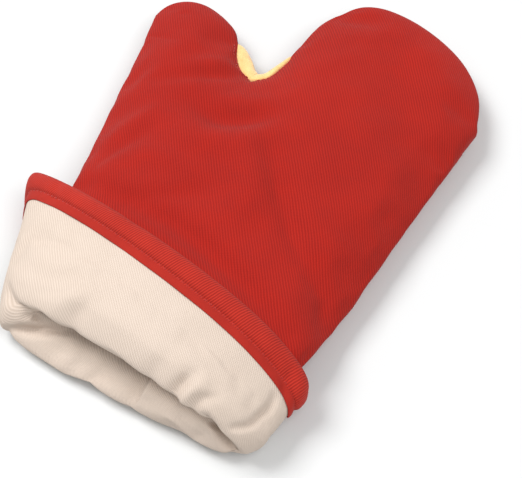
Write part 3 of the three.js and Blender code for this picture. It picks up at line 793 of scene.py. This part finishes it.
def guard_points(s, angle):
    """A grid of points at s along the strip and at an angle round its section. The section is
    half an ellipse outside the seam and a thin backing behind it. It stands out most near the
    thumb and runs out at both ends."""
    plan, into = web_path(s)
    swell = np.sin(np.pi * np.clip(s, 0, 1)) ** 0.6
    stand = mix(GUARD_STAND, HAND_STAND, smooth(s * 1.25))
    out = np.where(np.cos(angle) > 0, np.outer(stand * swell, np.cos(angle)), BACKING * np.cos(angle)) - 0.6
    up = np.outer(1.2 + GUARD_HALF_HEIGHT * swell, np.sin(angle))
    level = plan[:, None] + into[:, None] * out[..., None]
    return np.concatenate([level, HAND_SEAM + up[..., None]], axis=2)


def end_cap(ids):
    """Quads that close a ring with an even number of points, laid like the rungs of a ladder."""
    half = len(ids) // 2
    near, far = ids[:half], ids[half:][::-1]
    return np.stack([near[:-1], near[1:], far[1:], far[:-1]], axis=1)


angles = np.linspace(FULL_TURN, 0, GUARD_SIDES, endpoint=False)
guard_rows = guard_points(np.linspace(0, 1, GUARD_STEPS), angles)
guard_ids = np.arange(guard_rows[..., 0].size).reshape(guard_rows.shape[:2])
guard_faces = np.concatenate([tube_quads(guard_ids), end_cap(guard_ids[0]), end_cap(guard_ids[-1])[:, ::-1]])
guard = make_piece("web_guard_strip", guard_rows.reshape(-1, 3), guard_faces)

# %% [markdown]
# ## Stitches
# A lockstitch shows as a row of short threads, each dipping into the cloth at both ends. One
# short capsule is repeated along a path. It has only 28 faces, because there are more than
# a hundred and fifty, and all of them on a path are placed with one array product.

# %% Stitches
CAPSULE_RINGS = np.array([(-1.0, 0.25), (-0.75, 0.85), (0.0, 1.0), (0.75, 0.85), (1.0, 0.25)])


def stitches(name, points, normals, pitch=3.2, length=2.3, radius=0.34):
    """Capsules on a path of points whose surface normals are given. A capsule's point is its
    centre plus length / 2 along the path, and radius across and up."""
    run = lengths(points)
    count = int(run[-1] / pitch)
    middle = (np.arange(count) + 0.5) * pitch
    centre = np.stack([np.interp(middle, run, column) for column in points.T], axis=1)
    ahead = np.stack([np.interp(middle + 0.8, run, column) for column in points.T], axis=1)
    ahead -= np.stack([np.interp(middle - 0.8, run, column) for column in points.T], axis=1)
    ahead /= np.linalg.norm(ahead, axis=1, keepdims=True)
    up = np.stack([np.interp(middle, run, column) for column in normals.T], axis=1)
    side = np.cross(up, ahead)
    side /= np.linalg.norm(side, axis=1, keepdims=True)
    up = np.cross(ahead, side)
    turn = np.linspace(0, FULL_TURN, 6, endpoint=False)
    place, wide = np.repeat(CAPSULE_RINGS, 6, axis=0).T
    local = np.stack([place * length / 2, wide * radius * np.tile(np.cos(turn), 5),
                      wide * radius * np.tile(np.sin(turn), 5)], axis=1)
    frames = np.stack([ahead, side, up], axis=1)
    placed = centre[:, None] + np.einsum("pk,nkx->npx", local, frames)
    ids = np.arange(30).reshape(5, 6)
    one = np.concatenate([tube_quads(ids)[:, ::-1], ids[0][[[0, 5, 4, 3], [0, 3, 2, 1]]],
                          ids[4][[[0, 1, 2, 3], [0, 3, 4, 5]]]])
    faces = (one[None] + 30 * np.arange(count)[:, None, None]).reshape(-1, 4)
    return make_piece(name, placed.reshape(-1, 3), faces, levels=0)


STITCH_HEIGHT, WEB_STITCH_INSET = 0.5, 3.2  # mm above the lining, and in from the web's seam
groove = on_hem(STITCH_LINE, STITCH_HEIGHT)
normal, _ = ring_frames(np.stack([on_hem(STITCH_LINE + 0.4, STITCH_HEIGHT), groove]))
hem_stitches = stitches("hem_stitches", np.vstack([groove, groove[:1]]), np.vstack([normal, normal[:1]]))

edge_path, into = web_path(np.linspace(0.03, 0.97, 60))
edge_path = edge_path - into * WEB_STITCH_INSET
back_panel = shell_points[:panel_size]
nearest = np.linalg.norm(edge_path[:, None] - back_panel[None, :, :2], axis=2).argmin(1)
edge_normals = vertex_normals(shell_points, shell_faces)[nearest]
web_line = back_panel[nearest] + 0.1 * edge_normals
web_stitches = stitches("web_stitches", along(web_line, np.linspace(0, 1, 30)), edge_normals[::2])

# %% [markdown]
# ## Camera, table and light
# The view is from the cuff's side and well above. A soft lamp on the left gives the shadow
# at the right, a larger one further off on the right opens the shadows in the folds, and the
# world fills the rest. Under this light the pale grey table comes out white, so that only the
# shadow shows on it.

# %% Camera
TARGET = (np.array([39.0, -32.4, 19.3]) + SHIFT) * MM
AZIMUTH, ELEVATION, DISTANCE = math.radians(33), math.radians(60), 0.705
LENS = 85.0

view_back = np.array([math.sin(AZIMUTH) * math.cos(ELEVATION), -math.cos(AZIMUTH) * math.cos(ELEVATION),
                      math.sin(ELEVATION)])
camera_data = bpy.data.cameras.new("camera")
camera_data.lens = LENS
camera = bpy.data.objects.new("camera", camera_data)
bpy.context.scene.collection.objects.link(camera)
camera.location = TARGET + view_back * DISTANCE
camera.rotation_euler = Vector(-view_back).to_track_quat("-Z", "Y").to_euler()
bpy.context.scene.camera = camera
print("camera at, m:", [round(value, 3) for value in camera.location])

# %% Table and lamps
bpy.ops.mesh.primitive_plane_add(size=6.0, location=(0, 0, 0))
table = bpy.context.object
table.name = "table"
table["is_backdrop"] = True


def lamp(name, place, size, power):
    """A square area lamp that points at the mitt."""
    data = bpy.data.lights.new(name, "AREA")
    data.size, data.energy = size, power
    made = bpy.data.objects.new(name, data)
    bpy.context.scene.collection.objects.link(made)
    made.location = place
    made.rotation_euler = (Vector(place)).to_track_quat("Z", "Y").to_euler()


lamp("key", (-1.75, -0.05, 2.45), 1.4, 78)
lamp("fill", (2.2, -0.2, 4.2), 3.4, 126)
world = bpy.data.worlds.new("world")
bpy.context.scene.world = world
world.use_nodes = True
world.node_tree.nodes["Background"].inputs["Color"].default_value = (1, 1, 1, 1)
world.node_tree.nodes["Background"].inputs["Strength"].default_value = 0.52
bpy.context.scene.view_settings.view_transform = "Standard"
print("two lamps, a world and a table")

# %% [markdown]
# ## Writing shader maths
# A pattern such as twill is a formula. Wrapping a node's output in a small class with
# operators lets us write that formula as Python, and each operator adds its Math node.

# %% Sockets that can be added and multiplied


class Wire:
    """A node output on which arithmetic adds Math nodes."""

    def __init__(self, tree, socket):
        self.tree, self.socket = tree, socket

    def node(self, kind, settings=None, out=0, **inputs):
        """Adds a node. Settings come first. An input is named with _ for a space."""
        node = self.tree.nodes.new(kind)
        for key, value in (settings or {}).items():
            if key == "stops":
                fill_ramp(node.color_ramp, value)
            else:
                setattr(node, key, value)
        for key, value in inputs.items():
            socket = node.inputs[int(key[1:]) if key[1:].isdigit() else key.replace("_", " ")]
            if isinstance(value, Wire):
                self.tree.links.new(value.socket, socket)
            else:
                socket.default_value = value
        return Wire(self.tree, node.outputs[out])

    def math(self, operation, *others):
        inputs = {f"i{k}": value for k, value in enumerate((self, *others))}
        return self.node("ShaderNodeMath", {"operation": operation}, **inputs)

    def __add__(self, other):
        return self.math("ADD", other)

    def __sub__(self, other):
        return self.math("SUBTRACT", other)

    def __rsub__(self, other):
        return (self * -1) + other

    def __mul__(self, other):
        return self.math("MULTIPLY", other)

    __radd__, __rmul__ = __add__, __mul__

    def sin(self):
        return self.math("SINE")

    def between(self, low, high):
        """0 at low, 1 at high, limited to that range."""
        return self.node("ShaderNodeMapRange", Value=self, From_Min=low, From_Max=high)

    def noise(self, scale, detail=2.0, roughness=0.5):
        """Noise read at this wire's vector."""
        return self.node("ShaderNodeTexNoise", Vector=self, Scale=scale, Detail=detail, Roughness=roughness)

    def blend(self, first, second):
        """first where this is 0, second where it is 1."""
        kind = {"data_type": "RGBA"}
        return self.node("ShaderNodeMix", kind, out=2, i0=self, i6=first, i7=second)


def fill_ramp(ramp, stops):
    """Sets a colour ramp's stops from (place, grey) pairs."""
    for element, (place, grey) in zip(ramp.elements, stops):
        element.position, element.color = place, (grey, grey, grey, 1)


def finish(name, roughness, sheen=0.0):
    """A new material. Returns it with a wire on its surface shader and a coordinate reader."""
    material = bpy.data.materials.new(name)
    material.use_nodes = True
    shader = material.node_tree.nodes["Principled BSDF"]
    shader.inputs["Roughness"].default_value = roughness
    shader.inputs["Sheen Weight"].default_value = sheen
    shader.inputs["Sheen Roughness"].default_value = 0.6
    shader.inputs["Specular IOR Level"].default_value = 0.15
    coordinates = material.node_tree.nodes.new("ShaderNodeTexCoord")
    place = Wire(material.node_tree, coordinates.outputs["Object"])
    weave = Wire(material.node_tree, coordinates.outputs["UV"])
    return material, shader, place, weave


def attach(shader, **inputs):
    """Links wires to the shader's sockets."""
    for key, wire in inputs.items():
        wire.tree.links.new(wire.socket, shader.inputs[key.replace("_", " ")])


# %% [markdown]
# ## Twill
# Twill has fine slanting ribs: each weft thread passes over two warp threads and under one,
# a step further along in every row. The ribs are a sine across them. A faster sine along
# each rib marks the single threads, and noise makes both uneven. The same function serves
# the red shell, the tape and the cream lining, with other colours, pitches and slants.

# %% Twill finish


def twill(name, light, dark, slant, pitch=1.55, relief=0.26, roughness=0.86, sheen=0.04, mottle=0.5,
          flat_and_shaded_margin=None):
    """light and dark are the colours of the rib tops and of the grooves, slant the ribs'
    direction in the cloth in degrees, pitch and relief in mm. Across a flat margin, in mm from
    the edge of the cloth, the ribs are pressed nearly flat, and the colour there is held a
    little darker than the ribs' mean: painted shade under the raised band. mottle is how
    cloudy it is."""
    material, shader, place, weave = finish(name, roughness, sheen)
    turned = weave.node("ShaderNodeMapping", Vector=weave, Rotation=(0, 0, math.radians(90 - slant)))
    across = turned.node("ShaderNodeSeparateXYZ", Vector=turned)
    along_rib = turned.node("ShaderNodeSeparateXYZ", out=1, Vector=turned)
    wobble = turned.noise(180.0, 2.0)
    phase = across * (FULL_TURN / (pitch * MM)) + wobble * 2.4
    rib = phase.sin() * 0.5 + 0.5
    # In the margin the ribs are held at 0.35, below their mean: flat pressed cloth, and painted shade under
    # the raised band.
    if flat_and_shaded_margin is not None:
        down = weave.node("ShaderNodeSeparateXYZ", out=1, Vector=weave)
        rib = (rib - 0.35) * down.between(-flat_and_shaded_margin * MM, -(flat_and_shaded_margin + 1) * MM) + 0.35
    threads = (along_rib * (FULL_TURN / (pitch * 0.62 * MM)) + phase * 0.5 + wobble * 1.5).sin() * 0.5 + 0.5
    fibre = turned.noise(2600.0, 2.0, 0.6)
    cloud = place.noise(22.0, 3.0, 0.55)
    worn = place.noise(95.0, 3.0, 0.6)
    height = rib * 0.62 + threads * 0.2 + fibre * 0.5
    shade = rib * 0.42 + threads * 0.1 + fibre * 0.34 + cloud * (0.5 * mottle) + worn * (0.35 * mottle)
    color = shade.between(0.25, 1.0 + 0.35 * mottle).blend(dark, light)
    normal = height.node("ShaderNodeBump", Strength=0.8, Distance=relief * MM, Height=height)
    rough = worn * 0.16 + (roughness - 0.08)
    attach(shader, Base_Color=color, Normal=normal, Roughness=rough)
    return material


def rgb(red, green, blue):
    """A colour given in the usual 0 to 255 display values."""
    scaled = np.array([red, green, blue]) / 255
    linear = np.where(scaled <= 0.04045, scaled / 12.92, ((scaled + 0.055) / 1.055) ** 2.4)
    return (*linear.tolist(), 1.0)


red_twill = twill("shell_red_twill", rgb(180, 36, 22), rgb(126, 15, 10), slant=130)
# The tape's flat margin next to the lining is painted a little darker, as painted shade under the raised
# band.
tape_twill = twill("tape_red_twill", rgb(208, 58, 42), rgb(122, 14, 9), slant=112, pitch=1.35,
                   relief=0.32, flat_and_shaded_margin=6.0)
cream_twill = twill("lining_cream_twill", rgb(220, 205, 193), rgb(188, 171, 156), slant=228,
                    pitch=1.5, mottle=0.35)
print("twills:", red_twill.name, tape_twill.name, cream_twill.name)

# %% [markdown]
# ## Felt and thread
# The guard strip is needled felt: no weave, only a cloudy mat of short fibres. Noise that is
# stretched one way gives the fibres. The sewing thread is close to the tape's own red.

# %% Felt and thread finishes
guard_felt, shader, place, weave = finish("guard_yellow_felt", 0.95, 0.5)
stretched = place.node("ShaderNodeMapping", Vector=place, Scale=(1.0, 1.0, 0.35))
fibre = stretched.noise(1500.0, 4.0, 0.65)
cloud = place.noise(160.0, 2.0)
shade = (fibre * 0.7 + cloud * 0.5).between(0.3, 0.85)
height = fibre + cloud * 0.5
attach(shader, Base_Color=shade.blend(rgb(214, 160, 88), rgb(250, 216, 142)),
       Normal=height.node("ShaderNodeBump", Strength=0.9, Distance=0.5 * MM, Height=height))

thread_red, shader, place, weave = finish("sewing_thread_red", 0.6, 0.2)
fibre = place.noise(1800.0, 2.0)
attach(shader, Base_Color=fibre.between(0.3, 0.7).blend(rgb(138, 24, 18), rgb(182, 42, 30)))

table_white, shader, place, weave = finish("table_white", 0.9)
cloud = place.noise(3.0, 2.0)
attach(shader, Base_Color=cloud.between(0.0, 1.0).blend(rgb(208, 209, 209), rgb(212, 213, 213)))

shell.data.materials.append(red_twill)
lining.data.materials.append(cream_twill)
tape.data.materials.append(tape_twill)
guard.data.materials.append(guard_felt)
table.data.materials.append(table_white)
for sewn in (hem_stitches, web_stitches):
    sewn.data.materials.append(thread_red)
print("finishes:", guard_felt.name, thread_red.name, table_white.name)

# %% [markdown]
# ## Handing the pieces over
# Each piece rides on the one body and stands for the solids that it covers, which are
# hidden. The finish slot beside each is listed but not used.

# %% Handing over
for piece, slot, nodes in (
    (shell, "shell_twill", ("shell_back", "shell_palm", "felt_back", "felt_palm", "steam_barrier_back",
                            "steam_barrier_palm")),
    (lining, "lining_twill", ("lining_back", "lining_palm")),
    (tape, "binding_twill", ("cuff_binding",)),
    (guard, "guard_felt", ("web_guard",)),
    (hem_stitches, "thread", ("binding_stitching",)),
    (web_stitches, "thread", ("web_stitching_back", "web_stitching_palm")),
):
    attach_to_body(piece, "root")
    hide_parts(*nodes)
